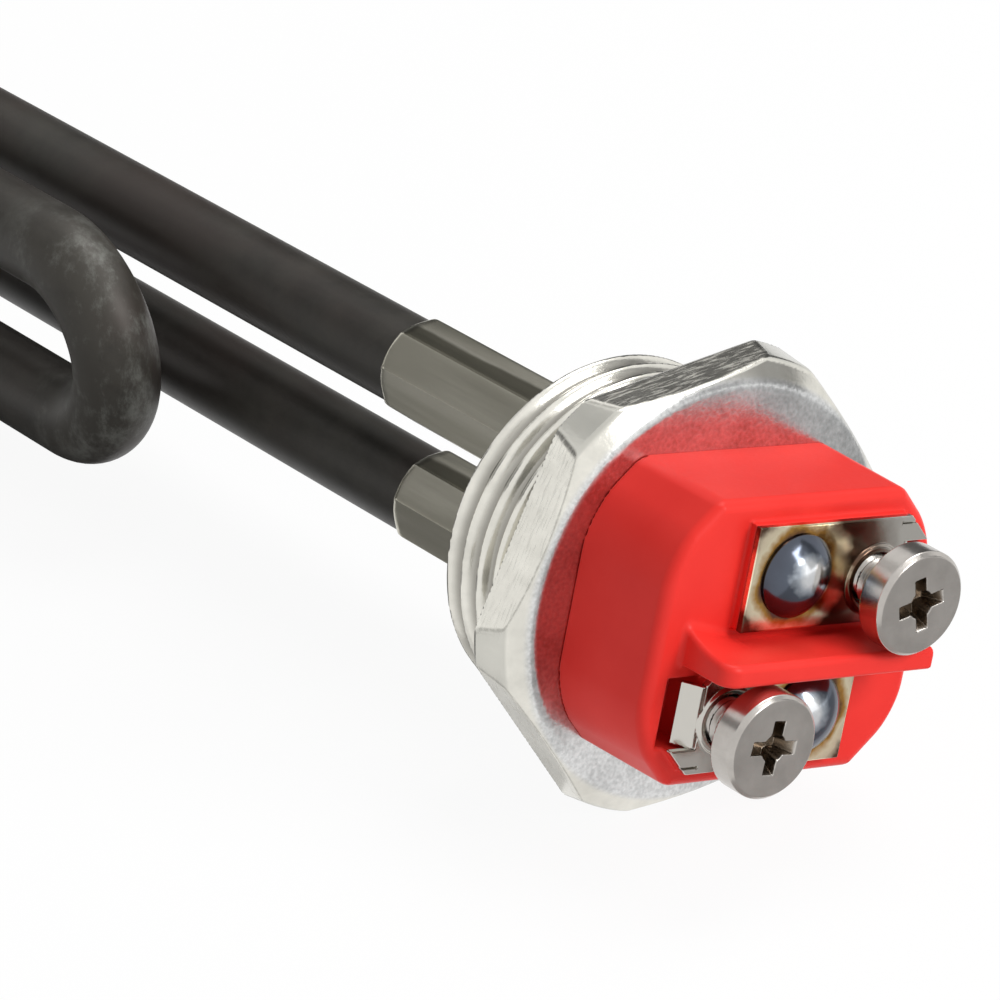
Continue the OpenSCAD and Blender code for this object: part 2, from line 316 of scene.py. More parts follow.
# hexagon and threaded shank as one field along the x axis
plug = dict(
    threadR=16.8, threadLen=11.9, pitch=2.209, depth=0.95, lead=1.0, runOutFrom=0.2, runOut=1.2,
    cornerR=22.1, taper=0.5, taperRun=3.6, faceR=19.4, chamferOut=0.5, chamferAlong=0.866,
    flatRound=0.2, edge=0.3, frontRound=0.25, backRound=0.15, overlap=1.0, fillet=0.3, boreR=4.3,
    slope=0.7,  # keeps the thread's field as steep as the rest
    low=(-12.5, -22.7, -20.7), high=(5.5, 22.7, 20.7), step=0.27,
    mottle=170.0, speck=2400.0, drawn=420.0, milled=3800.0,  # noise scales
    alongX=(0.12, 1.0, 1.0), alongFlats=(1.0, 0.14, 0.14),  # stretch of the drawn and milled streaks
    warm=[(0.34, (0.62, 0.605, 0.55)), (0.64, (0.82, 0.80, 0.73))],
    cool=[(0.36, (0.46, 0.465, 0.46)), (0.62, (0.76, 0.765, 0.76))],
    # the corner and root tints are painted shade; the crease tint gives darker lines along the creases
    cornerShadeTint=(0.46, 0.455, 0.415), creaseTint=(0.15, 0.145, 0.125), rootShadeTint=(0.20, 0.19, 0.165),
    cornerShade=0.55, creaseDark=0.45, rootShade=0.8,  # how far each tint covers the zinc
    rough=0.11, mottleRough=0.12, frontRough=0.04, milledRough=0.24, bump=0.2, bumpDepth=0.12)


def plugFinish():
    # zinc: warm on thread and flats, cooler on the turned front, with painted shade on the turned corners and
    # in the roots of the thread, and darker lines along the creases
    p = plug
    paint = newPaint("zincPlate", {"Metallic": 1.0})
    mottle = paint.noise(p["mottle"], 5.0)
    speck = paint.noise(p["speck"], 3.0)
    drawn = paint.noise(p["drawn"], 3.0, p["alongX"])
    milled = paint.noise(p["milled"], 3.0, p["alongFlats"], 0.6)
    x, y, z = (paint.axis(letter) for letter in "XYZ")
    away = paint.maths("SQRT", y * y + z * z)
    flats = paint.maths("ABSOLUTE", z)
    for lean in (0.866, -0.866):
        flats = paint.maths("MAXIMUM", flats, paint.maths("ABSOLUTE", y * lean + z * 0.5))
    inward = heater["hexFlats"] / 2 * mm - flats  # depth under the flats
    # where the front, the flats, the thread's roots, the corners and the creases lie
    front = x.rise(4.4 * mm, 4.8 * mm)
    flat = inward.fall(0.04 * mm, 0.3 * mm) * x.rise(0.0, 0.3 * mm)
    root = away.fall(15.8 * mm, 16.65 * mm) * x.fall(-0.4 * mm, 0.0)
    corner = (away + x * 0.139).rise(21.85 * mm, 22.05 * mm) * inward.rise(0.02 * mm, 0.1 * mm)
    crease = inward.rise(0.02 * mm, 0.06 * mm) * inward.fall(0.06 * mm, 0.16 * mm)
    crease = crease * x.rise(0.3 * mm, 0.6 * mm) * speck.rise(0.3, 0.6, 0.45, 1.0)
    warm = paint.ramp(mottle * 0.6 + drawn * 0.4, p["warm"])
    cool = paint.ramp(mottle * 0.5 + speck * 0.5, p["cool"])
    colour = paint.mix(front, warm, cool)
    # painted shade on the turned corners
    colour = paint.mix(corner * p["cornerShade"], colour, p["cornerShadeTint"])
    # darker, dashed lines along the creases
    colour = paint.mix(crease * p["creaseDark"], colour, p["creaseTint"])
    # painted shade in the roots of the thread
    colour = paint.mix(root * p["rootShade"], colour, p["rootShadeTint"])
    rough = p["rough"] + p["mottleRough"] * mottle + p["frontRough"] * front
    rough = rough + flat * milled.rise(0.44, 0.7) * p["milledRough"]
    paint.set({"Base Color": colour, "Roughness": rough})
    height = speck * (0.3 + front * 0.3) + mottle * 0.25 + drawn * 0.5 + flat * milled * 0.5
    paint.bump(height, p["bump"], p["bumpDepth"] * mm)
    return paint


def plugField(x, y, z):
    p = plug
    thick = heater["hexThick"]
    r = np.hypot(y, z)
    flats = np.abs(z)
    for a in (math.radians(30), math.radians(150)):
        flats = np.maximum(flats, np.abs(y * math.cos(a) + z * math.sin(a)))
    turned = r - p["cornerR"] + p["taper"] * x / p["taperRun"]
    chamfer = (r - p["faceR"]) * p["chamferOut"] + (x - thick) * p["chamferAlong"]
    nut = roundMax(flats - heater["hexFlats"] / 2, turned, p["flatRound"])
    nut = roundMax(roundMax(nut, chamfer, p["edge"]), x - thick, p["frontRound"])
    nut = roundMax(nut, -x, p["backRound"])
    turn = np.arctan2(z, y) / (2 * math.pi)
    swing = np.abs(((x / p["pitch"] + turn) % 1.0) * 2 - 1)
    fade = np.clip((-x - p["runOutFrom"]) / p["runOut"], 0, 1)
    groove = p["depth"] * (0.5 - 0.5 * np.cos(math.pi * swing)) * fade
    shank = (r - p["threadR"] + groove) * p["slope"]
    shank = np.maximum(shank, (r - p["threadR"] + p["lead"] - x - p["threadLen"]) * p["slope"])
    solid = roundMin(nut, np.maximum(shank, x - p["overlap"]), p["fillet"])
    a = math.radians(legTurn)
    for side in sides.values():
        bore = np.hypot(y - side * legRadius * math.cos(a), z - side * legRadius * math.sin(a)) - p["boreR"]
        solid = np.maximum(solid, -bore)
    return np.maximum(solid, -x - p["threadLen"])


def makePlug(paint):
    points, faces, normals = netMesh(plugField, plug["low"], plug["high"], plug["step"])
    addPiece("plugBody", points, faces, paint, "heater", ["screw_plug"], normals)


# red block as a field in block coordinates, x out of the plug
block = dict(
    halfW=15.4, halfH=13.2, bevel=4.7, shoulder=2.4, edge=0.5, frontEdge=1.1, draft=0.022,
    pad=0.8, padInset=0.02, padEdge=0.12, padFillet=0.25,
    crest=22.6, wallLow=-1.4, wallHigh=0.65, wallRight=11.7, wallLeft=-12.4, wallFoot=12.0, wallFillet=0.6,
    wallRound=1.7, upperEdge=0.6, lowerEdge=0.3, endEdge=0.4,
    flareFrom=-6.7, flare=1.6, flareCurve=2.2, flareSlope=0.85, flareReach=1.1,
    slotCorners=[(9.8, 9.1), (9.8, 2.75), (13.15, 2.75), (13.15, 9.1)], slotFloor=12.7, slotEdge=0.3,
    wellR=2.42, wellFloor=8.3, pinR=1.6, pocketR=4.3, pocketTop=7.9,
    low=(4.5, -16.4, -14.2), high=(23.2, 16.4, 14.2), step=0.23,
    cloud=120.0, grain=2600.0,  # noise scales
    red=[(0.3, (0.705, 0.027, 0.021)), (0.7, (0.76, 0.034, 0.026))],
    rough=0.34, grainRough=0.1, coat=0.05, bump=0.1, bumpDepth=0.1)


def redFinish():
    paint = newPaint("redMoulding", {"Coat Roughness": 0.2, "Specular IOR Level": 0.14})
    cloud = paint.noise(block["cloud"], 4.0)
    grain = paint.noise(block["grain"], 2.0)
    paint.set({"Base Color": paint.ramp(cloud, block["red"]),
               "Roughness": block["rough"] + block["grainRough"] * grain,
               "Coat Weight": block["coat"] * cloud})
    paint.bump(grain * 0.35 + cloud * 0.65, block["bump"], block["bumpDepth"] * mm)
    return paint


def barrierField(x, y, z):
    # its left end is flared at the foot and rounded at the crest
    b = block
    fall = np.clip((b["crest"] - x) / (b["crest"] - heater["faceX"]), 0, b["flareReach"])
    flare = np.clip((b["flareFrom"] - y) / (b["flareFrom"] - b["wallLeft"]), 0, 1)
    upper = (z - b["wallHigh"] - b["flare"] * flare * fall ** b["flareCurve"]) * b["flareSlope"]
    wall = roundMax(roundMax(b["wallLeft"] - y, x - b["crest"], b["wallRound"]), upper, b["upperEdge"])
    wall = roundMax(wall, roundMax(b["wallLow"] - z, y - b["wallRight"], b["lowerEdge"]), b["endEdge"])
    return np.maximum(wall, b["wallFoot"] - x)


def blockField(x, y, z):
    b = block
    bevel = (np.abs(y) + np.abs(z) - b["halfW"] - b["halfH"] + b["bevel"]) / math.sqrt(2)
    edge = roundMax(np.abs(y) - b["halfW"], bevel, b["shoulder"])
    edge = roundMax(edge, np.abs(z) - b["halfH"], b["edge"])
    edge = edge - (heater["faceX"] - x) * b["draft"]
    solid = roundMax(edge, x - heater["faceX"], b["frontEdge"])
    for s in sides.values():
        pad = polygonField(s * y, s * z, plate["corners"]) + b["padInset"]
        pad = roundMax(pad, x - heater["faceX"] - b["pad"], b["padEdge"])
        solid = roundMin(solid, pad, b["padFillet"])
    solid = roundMin(solid, barrierField(x, y, z), b["wallFillet"])
    # slot for the tab, well for the screw, hole for the pin and pocket for the tube's mouth
    for name, s in sides.items():
        tabSlot = np.maximum(polygonField(s * y, s * z, b["slotCorners"]), b["slotFloor"] - x)
        solid = roundMax(solid, -tabSlot, b["slotEdge"])
        well = np.hypot(s * y - screw["along"], s * z - screw["up"][name]) - b["wellR"]
        solid = np.maximum(solid, -np.maximum(well, b["wellFloor"] - x))
        away = np.hypot(s * y + heater["pinAlong"], s * z - heater["pinUp"])
        solid = np.maximum(solid, b["pinR"] - away)
        solid = np.maximum(solid, -np.maximum(away - b["pocketR"], x - b["pocketTop"]))
    return np.maximum(solid, heater["hexThick"] - x)


def makeBlock(paint):
    points, faces, normals = netMesh(blockField, block["low"], block["high"], block["step"])
    addPiece("redBlock", points, faces, paint, "heater", ["terminal_block", "terminal_barrier"],
             normals, blocked=True)


# terminal screws, each a field around its own axis
screw = dict(
    along=7.0, up=dict(upper=5.7, lower=6.45), headX=21.55, turn=dict(upper=16.3, lower=-3.3),
    headR=4.85, headT=2.75, edge=0.1, bevel=0.38, bevelEdge=0.06,
    shankR=2.35, length=9.5, tip=0.6, pitch=0.794, depth=0.42, runOutFrom=0.35, runOut=0.5,
    shankSlope=0.75, tipSlope=0.7, overlap=0.5, fillet=0.2,
    armHalf=0.62, armDraft=0.08, armReach=2.52, armTaper=0.5, heartR=1.32, heartTaper=0.25, heartSlope=0.9,
    recess=1.9, recessEdge=0.07, room=0.4, step=0.115,
    haze=380.0, fine=3000.0,  # noise scales
    nickel=[(0.3, (0.44, 0.415, 0.385)), (0.7, (0.55, 0.52, 0.485))],
    # painted shade inside the cross recess: its tint, amount, reach and middle
    recessShadeTint=(0.19, 0.135, 0.08), recessShade=0.68, recessShadeR=2.6, recessShadeDown=0.9,  # its middle, below the head's top
    rough=0.16, fineRough=0.12, bump=0.06, bumpDepth=0.05)


def screwFinish():
    # satin nickel, with painted shade, dark brown, inside the cross recess
    s = screw
    paint = newPaint("satinNickel", {"Metallic": 1.0})
    haze = paint.noise(s["haze"], 4.0)
    fine = paint.noise(s["fine"], 2.0)
    top = s["headX"] + s["headT"]
    upper, lower = (paint.reach((top - s["recessShadeDown"], *inBlock(side * s["along"], side * s["up"][name])))
                    for name, side in sides.items())
    sunk = paint.axis("X").fall((top - 0.4) * mm, (top - 0.06) * mm)
    # painted shade inside the cross recess
    recessShade = paint.maths("MINIMUM", upper, lower).fall(s["recessShadeR"], s["recessShadeR"] + 0.2) * sunk
    colour = paint.mix(recessShade * s["recessShade"], paint.ramp(haze, s["nickel"]), s["recessShadeTint"])
    paint.set({"Base Color": colour, "Roughness": s["rough"] + s["fineRough"] * fine})
    paint.bump(fine, s["bump"], s["bumpDepth"] * mm)
    return paint


def screwField(turn):
    s = screw
    a = math.radians(turn)

    def field(x, y, z):
        r = np.hypot(y, z)
        head = roundMax(r - s["headR"], np.abs(x - s["headT"] / 2) - s["headT"] / 2, s["edge"])
        bevel = (r + x - s["headR"] - s["headT"] + s["bevel"]) / math.sqrt(2)
        head = roundMax(head, bevel, s["bevelEdge"])
        around = np.arctan2(z, y) / (2 * math.pi)
        swing = np.abs(((x / s["pitch"] + around) % 1.0) - 0.5) * 2
        grooved = np.clip((-x - s["runOutFrom"]) / s["runOut"], 0, 1)
        shank = (r - s["shankR"] + s["depth"] * swing * grooved) * s["shankSlope"]
        tip = (r - x - (s["shankR"] + s["length"] - s["tip"])) * s["tipSlope"]
        shank = np.maximum(np.maximum(shank, tip), np.maximum(-x - s["length"], x - s["overlap"]))
        solid = roundMin(head, shank, s["fillet"])
        # cross recess, narrower further down
        u, v = y * math.cos(a) + z * math.sin(a), z * math.cos(a) - y * math.sin(a)
        down = s["headT"] - x
        reach = s["armReach"] - s["armTaper"] * down
        half = s["armHalf"] - s["armDraft"] * down
        arms = np.minimum(np.maximum(np.abs(u) - half, np.abs(v) - reach),
                          np.maximum(np.abs(v) - half, np.abs(u) - reach))
        heart = (r - s["heartR"] + s["heartTaper"] * down) * s["heartSlope"]
        recess = np.maximum(np.minimum(arms, heart), down - s["recess"])
        return roundMax(solid, -recess, s["recessEdge"])
    return field


def makeScrew(name, side, paint):
    s = screw
    size = s["headR"] + s["room"]
    field = screwField(s["turn"][name] + (180 if side < 0 else 0))
    points, faces, normals = netMesh(field, (-s["length"] - s["room"], -size, -size),
                                     (s["headT"] + s["room"], size, size), s["step"])
    points = points + [s["headX"], side * s["along"], side * s["up"][name]]
    addPiece(name + "Screw", points, faces, paint, name + "_screw", [name + "_terminal_screw"],
             normals, blocked=True)


# terminal plates with a folded tab, an ear and a collar round the screw
plate = dict(
    corners=[(-7.35, 1.6), (8.5, 1.6), (10.0, 3.1), (10.0, 8.9), (12.8, 8.9), (10.4, 11.3), (-7.35, 11.3)],
    bottom=17.1, thick=0.7, edge=0.14, pinR=1.6,
    fold=10.0, tabLow=3.1, tabHigh=8.9, tabLen=1.75, tabTurn=52.0, tabEdge=0.1, tabSide=0.12,
    holeR=2.55, collarR=3.2, collarH=0.35, collarLean=0.5, collarEdge=0.2, collarFillet=0.15,
    slitAlong=10.2, slitUp=10.65, slitHalf=0.9, slitThin=0.1, slitFloor=0.4,
    low=(14.6, -7.8, 1.1), high=(18.9, 13.3, 11.8), step=0.13,
    wander=380.0, rubAndSheen=1500.0, alongPlate=(1.0, 0.3, 1.0),  # noise scales, and the stretch of the rubbing
    rough=0.1, rubRough=0.16, bump=0.14, bumpDepth=0.12, heatAndReflectionReach=14.0, heatAndReflectionWander=2.6,
    # heat colours near the pin, then painted reflection: bright cream at 0.36 to 0.40, dark brown at 0.46 to
    # 0.64
    heatAndReflection=[(0.23, (0.07, 0.08, 0.13)), (0.27, (0.16, 0.08, 0.05)), (0.31, (0.52, 0.28, 0.07)),
          (0.36, (0.95, 0.85, 0.61)), (0.40, (0.86, 0.74, 0.54)), (0.46, (0.12, 0.068, 0.044)),
          (0.64, (0.17, 0.132, 0.105)), (0.86, (0.58, 0.56, 0.515))])


def plateFinish(name, side):
    # nickel plate with the colours of heat around its pin, and painted reflection in the same ramp: a bright
    # cream ring and a dark brown band further out
    paint = newPaint(name + "PlateHeat", {"Metallic": 1.0})
    wander = paint.noise(plate["wander"], 3.0)
    rubAndSheen = paint.noise(plate["rubAndSheen"], 3.0, plate["alongPlate"])
    middle = inBlock(-heater["pinAlong"] * side, heater["pinUp"] * side)
    away = paint.reach((heater["plateTop"], *middle)) + (wander - 0.5) * plate["heatAndReflectionWander"]
    # heat colours and painted reflection, in rings round the pin
    paint.set({"Base Color": paint.ramp(away / plate["heatAndReflectionReach"], plate["heatAndReflection"]),
               "Roughness": plate["rough"] + plate["rubRough"] * rubAndSheen})
    paint.bump(wander * 0.7 + rubAndSheen * 0.3, plate["bump"], plate["bumpDepth"] * mm)
    return paint


def plateField(x, y, z, up):
    p = plate
    half = p["thick"] / 2
    top = p["bottom"] + p["thick"]
    slab = roundMax(polygonField(y, z, p["corners"]), np.abs(x - top + half) - half, p["edge"])
    # tab, folded down round a knee
    a = math.radians(p["tabTurn"])
    along = (y - p["fold"]) * math.cos(a) - (x - p["bottom"]) * math.sin(a)
    above = (y - p["fold"]) * math.sin(a) + (x - p["bottom"]) * math.cos(a)
    width = np.abs(z - (p["tabLow"] + p["tabHigh"]) / 2) - (p["tabHigh"] - p["tabLow"]) / 2
    tab = roundMax(np.abs(above - half) - half, np.maximum(along - p["tabLen"], -along), p["tabEdge"])
    knee = np.hypot(y - p["fold"], x - p["bottom"]) - p["thick"]
    knee = np.maximum(knee, np.maximum(p["bottom"] - x, p["fold"] - y))
    solid = np.minimum(slab, roundMax(np.minimum(tab, knee), width, p["tabSide"]))
    # collar and hole of the screw, slit beside the ear, hole of the pin
    reach = np.hypot(y - screw["along"], z - up)
    collar = roundMax(reach - p["collarR"] + p["collarLean"] * np.clip(x - top, 0, 1),
                      np.abs(x - top) - p["collarH"], p["collarEdge"])
    solid = roundMin(solid, np.maximum(collar, p["bottom"] - x), p["collarFillet"])
    solid = np.maximum(solid, p["holeR"] - reach)
    slit = np.maximum(np.abs(y - p["slitAlong"]) - p["slitHalf"], np.abs(z - p["slitUp"]) - p["slitThin"])
    solid = np.maximum(solid, -np.maximum(slit, p["bottom"] + p["slitFloor"] - x))
    return np.maximum(solid, p["pinR"] - np.hypot(y + heater["pinAlong"], z - heater["pinUp"]))


def makePlate(name, side, paint):
    def field(x, y, z):
        return plateField(x, y, z, screw["up"][name])
    points, faces, normals = netMesh(field, plate["low"], plate["high"], plate["step"])
    turned = np.array([1, side, side])
    addPiece(name + "Plate", points * turned, faces, paint, "heater", [name + "_terminal_plate"],
             normals * turned, blocked=True)


# riveted pins with a domed head on a thin flange
pin = dict(
    radius=1.5, headR=3.85, headH=2.1, lip=0.22, inner=-52.0, axisR=0.01, rows=24, columns=72, crease=35,
    flange=[(0.01, 0.12), (0.05, 0.02)],  # height over the plate, distance in from the head's edge
    rubAndSheen=dict(upper=(-0.1, 0.8), lower=(-1.0, 0.8)),  # middle of the painted highlight, from the pin's middle
    haze=700.0, rough=0.09, hazeRough=0.14, bump=0.08, bumpDepth=0.1, highlightReach=7.0, highlightWander=1.6,
    # painted highlight near its middle, fading to painted dark reflection further out
    highlightFade=[(0.13, (0.94, 0.96, 0.98)), (0.23, (0.42, 0.46, 0.51)), (0.32, (0.105, 0.12, 0.15)),
             (0.55, (0.085, 0.092, 0.115)), (0.80, (0.05, 0.05, 0.06))])


def pinFinish(name, side):
    # polished head with a painted highlight, fading to painted dark reflection further from it
    paint = newPaint(name + "PinShine", {"Metallic": 1.0})
    haze = paint.noise(pin["haze"], 3.0)
    rubAndSheenAlong, highlightUp = pin["rubAndSheen"][name]
    middle = inBlock(rubAndSheenAlong - heater["pinAlong"] * side, highlightUp + heater["pinUp"] * side)
    away = paint.reach((heater["plateTop"] + pin["headH"], *middle)) + (haze - 0.5) * pin["highlightWander"]
    # painted highlight and painted dark reflection, by distance from the highlight's middle
    paint.set({"Base Color": paint.ramp(away / pin["highlightReach"], pin["highlightFade"]),
               "Roughness": pin["rough"] + pin["hazeRough"] * haze})
    paint.bump(haze, pin["bump"], pin["bumpDepth"] * mm)
    return paint


def makePin(name, side, paint):
    p = pin
    top = heater["plateTop"]
    height = p["headH"] - p["lip"]
    ball = (p["headR"] ** 2 + height ** 2) / (2 * height)
    sweep = math.asin(p["headR"] / ball)
    profile = [(p["inner"], p["axisR"]), (p["inner"], p["radius"]), (top + p["flange"][0][0], p["radius"])]
    profile += [(top + over, p["headR"] - inset) for over, inset in p["flange"]]
    profile.append((top + p["lip"], p["headR"]))
    for row in range(1, p["rows"] + 1):
        a = sweep * (1 - row / p["rows"])
        x = top + p["lip"] + ball * math.cos(a) + height - ball
        profile.append((x, max(ball * math.sin(a), p["axisR"])))
    points, faces = lathe(profile, p["columns"])
    points = points + [0, -side * heater["pinAlong"], side * heater["pinUp"]]
    addPiece(name + "Pin", points, faces, paint, "heater", [name + "_cold_pin"],
             crease=p["crease"], blocked=True)


# crimped sleeves: eight flats that run out at the rim
sleeve = dict(
    start=-11.9, length=24.6, halfFlat=4.6, innerR=4.3, corner=0.15, rim=1.3, lip=0.06,
    rows=(0, 0.03, 0.1, 0.22, 0.4, 0.65, 1.0, 1.4, 6), columns=192, crease=32,  # rows from the rim
    drawn=500.0, reflectionNoise=260.0, alongX=(0.06, 1.0, 1.0), reflectionNoiseAlong=(0.35, 1.0, 1.0),
    nickel=[(0.3, (0.47, 0.45, 0.365)), (0.7, (0.64, 0.615, 0.52))],
    # painted dark reflection along the top flat: its tint, amount, lean and wander
    darkReflectionTint=(0.105, 0.098, 0.068), darkReflection=0.9, darkReflectionLean=0.02, darkReflectionWander=1.2,
    rough=0.13, drawnRough=0.14, bump=0.1, bumpDepth=0.1)


def sleeveFinish(name, side):
    # nickel with a painted dark reflection along the inner half of the top flat
    s = sleeve
    paint = newPaint(name + "CrimpedNickel", {"Metallic": 1.0})
    drawn = paint.noise(s["drawn"], 4.0, s["alongX"])
    reflectionNoise = paint.noise(s["reflectionNoise"], 5.0, s["reflectionNoiseAlong"])
    x, y, z = (paint.axis(letter) for letter in "XYZ")
    cosTurn, sinTurn = math.cos(math.radians(legTurn)), math.sin(math.radians(legTurn))
    out = y * cosTurn + z * sinTurn - side * legRadius * mm
    across = z * cosTurn - y * sinTurn + x * s["darkReflectionLean"] + (reflectionNoise - 0.5) * (s["darkReflectionWander"] * mm)
    # painted dark reflection on the inner half of the top flat
    darkReflection = out.rise(4.52 * mm, 4.58 * mm) * across.rise(-0.9 * mm, -0.3 * mm)
    colour = paint.mix(darkReflection * s["darkReflection"], paint.ramp(drawn, s["nickel"]), s["darkReflectionTint"])
    paint.set({"Base Color": colour, "Roughness": s["rough"] + s["drawnRough"] * drawn})
    paint.bump(drawn, s["bump"], s["bumpDepth"] * mm)
    return paint


def sleeveRadius(turn, past):
    # outer radius at an angle from a flat's middle and a distance from the rim
    s = sleeve
    half = math.pi / 8  # half of an eighth turn
    off = abs((turn + half) % (2 * half) - half)
    core = s["halfFlat"] - s["corner"]
    if off < math.atan2(core * math.tan(half), s["halfFlat"]):
        wide = s["halfFlat"] / math.cos(off)
    else:
        core = core / math.cos(half)
        sunk = s["corner"] ** 2 - (core * math.sin(half - off)) ** 2
        wide = core * math.cos(half - off) + math.sqrt(max(sunk, 0))
    ease = math.sqrt(max(0, 1 - (1 - min(1, past / s["rim"])) ** 2))
    return (s["innerR"] + s["lip"]) * (1 - ease) + wide * ease


def makeSleeve(name, side, paint):
    s = sleeve
    n = s["columns"]
    first = math.radians(legTurn)
    cy, cz = side * legRadius * math.cos(first), side * legRadius * math.sin(first)
    rim = s["start"] - s["length"]
    turns = [2 * math.pi * j / n for j in range(n)]
    rings = [(rim + past, [sleeveRadius(t, past) for t in turns]) for past in (*s["rows"], s["length"])]
    rings += [(x, [s["innerR"]] * n) for x in (s["start"], rim)]
    points = [(x, cy + r * math.cos(first + t), cz + r * math.sin(first + t))
              for x, radii in rings for r, t in zip(radii, turns)]
    faces = gridFaces(len(rings), n)
    last = (len(rings) - 1) * n
    faces += [((j + 1) % n, j, last + j, last + (j + 1) % n) for j in range(n)]
    addPiece(name + "Sleeve", points, faces, paint, "heater", [name + "_sleeve"],
             crease=s["crease"])


# folded tube of the element
tube = dict(
    outer=4.25, wall=0.75, mouth=7.0, farEnd=330.0, setback=64.8, spacing=18.4, offset=12.7,
    around=56, legRows=90, foldRows=34, backRows=60, noseRows=50, crease=40,
    drawn=320.0, speck=160.0, rust=70.0, rubAndSheen=210.0,  # noise scales
    alongX=(0.05, 1.0, 1.0), rustAlong=(0.5, 1.0, 1.0), rubAndSheenAlong=(1.0, 1.0, 0.55),
    scale=[(0.32, (0.016, 0.0145, 0.012)), (0.68, (0.048, 0.044, 0.037))],
    # the last two values here are painted light, a lighter mottled patch on the return bend
    rustTint=(0.036, 0.024, 0.020), rustAmount=0.55, bendLightTint=(0.165, 0.168, 0.152), bendLightAmount=0.8,
    rough=0.34, speckRough=0.25, bump=0.2, bumpDepth=0.1)


def tubeFinish():
    # dark oxide with faint rust, and painted light on the return bend: lighter and mottled there
    t = tube
    paint = newPaint("darkSheath", {"Metallic": 0.3, "Specular IOR Level": 0.35})
    drawn = paint.noise(t["drawn"], 5.0, t["alongX"])
    speck = paint.noise(t["speck"], 6.0, None, 0.7)
    rust = paint.noise(t["rust"], 5.0, t["rustAlong"])
    rubAndSheen = paint.noise(t["rubAndSheen"], 8.0, t["rubAndSheenAlong"], 0.75)
    # painted light: the return bend is painted lighter
    bendLight = paint.axis("X").rise(-86 * mm, -67 * mm) * paint.axis("Y").fall(-7.5 * mm, -5.5 * mm)
    colour = paint.ramp(drawn * 0.4 + speck * 0.6 + bendLight * 0.2, t["scale"])
    colour = paint.mix(rust.rise(0.42, 0.66) * t["rustAmount"], colour, t["rustTint"])
    # painted light: a lighter mottled patch on the return bend
    colour = paint.mix(rubAndSheen.rise(0.46, 0.68) * bendLight * t["bendLightAmount"], colour, t["bendLightTint"])
    paint.set({"Base Color": colour, "Roughness": t["rough"] + t["speckRough"] * speck})
    paint.bump(drawn * 0.3 + speck * 0.4 + rubAndSheen * 0.3, t["bump"], t["bumpDepth"] * mm)
    return paint


def tubeRoute():
    # centre line from one mouth to the other, in the element's own axes
    backR = tube["spacing"] / 2
    across = backR - legRadius
    foldR = math.hypot(across, tube["offset"]) / 2
    foldTurn = math.atan2(tube["offset"], across)
    foldX = -tube["farEnd"] + tube["outer"] + foldR
    backX = -tube["setback"] - tube["outer"] - backR
    half = [Vector((x, legRadius, 0)) for x in np.linspace(tube["mouth"], foldX, tube["legRows"])]
    middle = Vector((foldX, (legRadius + backR) / 2, tube["offset"] / 2))
    toLeg = -Vector((0, math.cos(foldTurn), math.sin(foldTurn)))
    for a in np.linspace(0, math.pi, tube["foldRows"])[1:]:
        half.append(middle + foldR * (toLeg * math.cos(a) + Vector((-1, 0, 0)) * math.sin(a)))
    half += [Vector((x, backR, tube["offset"])) for x in np.linspace(foldX, backX, tube["backRows"])[1:]]
    nose = [Vector((backX + backR * math.sin(a), backR * math.cos(a), tube["offset"]))
            for a in np.linspace(0, math.pi, tube["noseRows"])[1:-1]]
    other = [Vector((p.x, -p.y, p.z)) for p in reversed(half)]
    return half + nose + other


def makeTube(paint):
    n = tube["around"]
    turn = Matrix.Rotation(math.radians(legTurn), 3, "X")
    route = [turn @ p for p in tubeRoute()]
    rows = len(route)
    ahead = [(route[min(i + 1, rows - 1)] - route[max(i - 1, 0)]).normalized() for i in range(rows)]
    angles = [2 * math.pi * j / n for j in range(n)]
    points = []
    for r in (tube["outer"], tube["outer"] - tube["wall"]):
        first = turn @ Vector((0, 1, 0))
        for p, d in zip(route, ahead):
            first = (first - d * first.dot(d)).normalized()
            second = d.cross(first)
            points += [tuple(p + r * (first * math.cos(a) + second * math.sin(a))) for a in angles]
    # outer skin, inner skin turned inside out, and a ring at each mouth
    inner = rows * n
    faces = gridFaces(rows, n)
    faces += [tuple(i + inner for i in f[::-1]) for f in faces]
    for row, flip in ((0, True), (rows - 1, False)):
        for j in range(n):
            a, b = row * n + j, row * n + (j + 1) % n
            ring = (a, b, b + inner, a + inner)
            faces.append(ring[::-1] if flip else ring)
    addPiece("elementTube", points, faces, paint, "heater", ["heater_sheath"],
             crease=tube["crease"])


# inner solids keep their CAD shape and get a finish
innerLooks = dict(
    magnesia=dict(dark=(0.80, 0.79, 0.76), light=(0.92, 0.91, 0.88), scale=1800.0, rough=0.8, metal=0.0,
                  wears=["magnesia_fill"]),
    resistanceWire=dict(dark=(0.36, 0.30, 0.25), light=(0.5, 0.43, 0.37), scale=2400.0, rough=0.35, metal=1.0,
                        wears=["resistance_coil"]),
    curedResin=dict(dark=(0.28, 0.10, 0.05), light=(0.40, 0.17, 0.09), scale=1500.0, rough=0.45, metal=0.0,
                    wears=["upper_mouth_seal", "lower_mouth_seal"]),
    firedBush=dict(dark=(0.74, 0.70, 0.62), light=(0.88, 0.84, 0.76), scale=1600.0, rough=0.6, metal=0.0,
                   wears=["upper_pin_bushing", "lower_pin_bushing"]))


def paintInner(name, look):
    paint = newPaint(name, {"Metallic": look["metal"]})
    grain = paint.noise(look["scale"], 5.0)
    paint.set({"Base Color": paint.ramp(grain, [(0.3, look["dark"]), (0.7, look["light"])]),
               "Roughness": look["rough"] + 0.15 * grain})
    paint.bump(grain, 0.2, 0.1 * mm)
    for node in look["wears"]:
        nodes[node].data.materials.clear()
        nodes[node].data.materials.append(paint.owner)


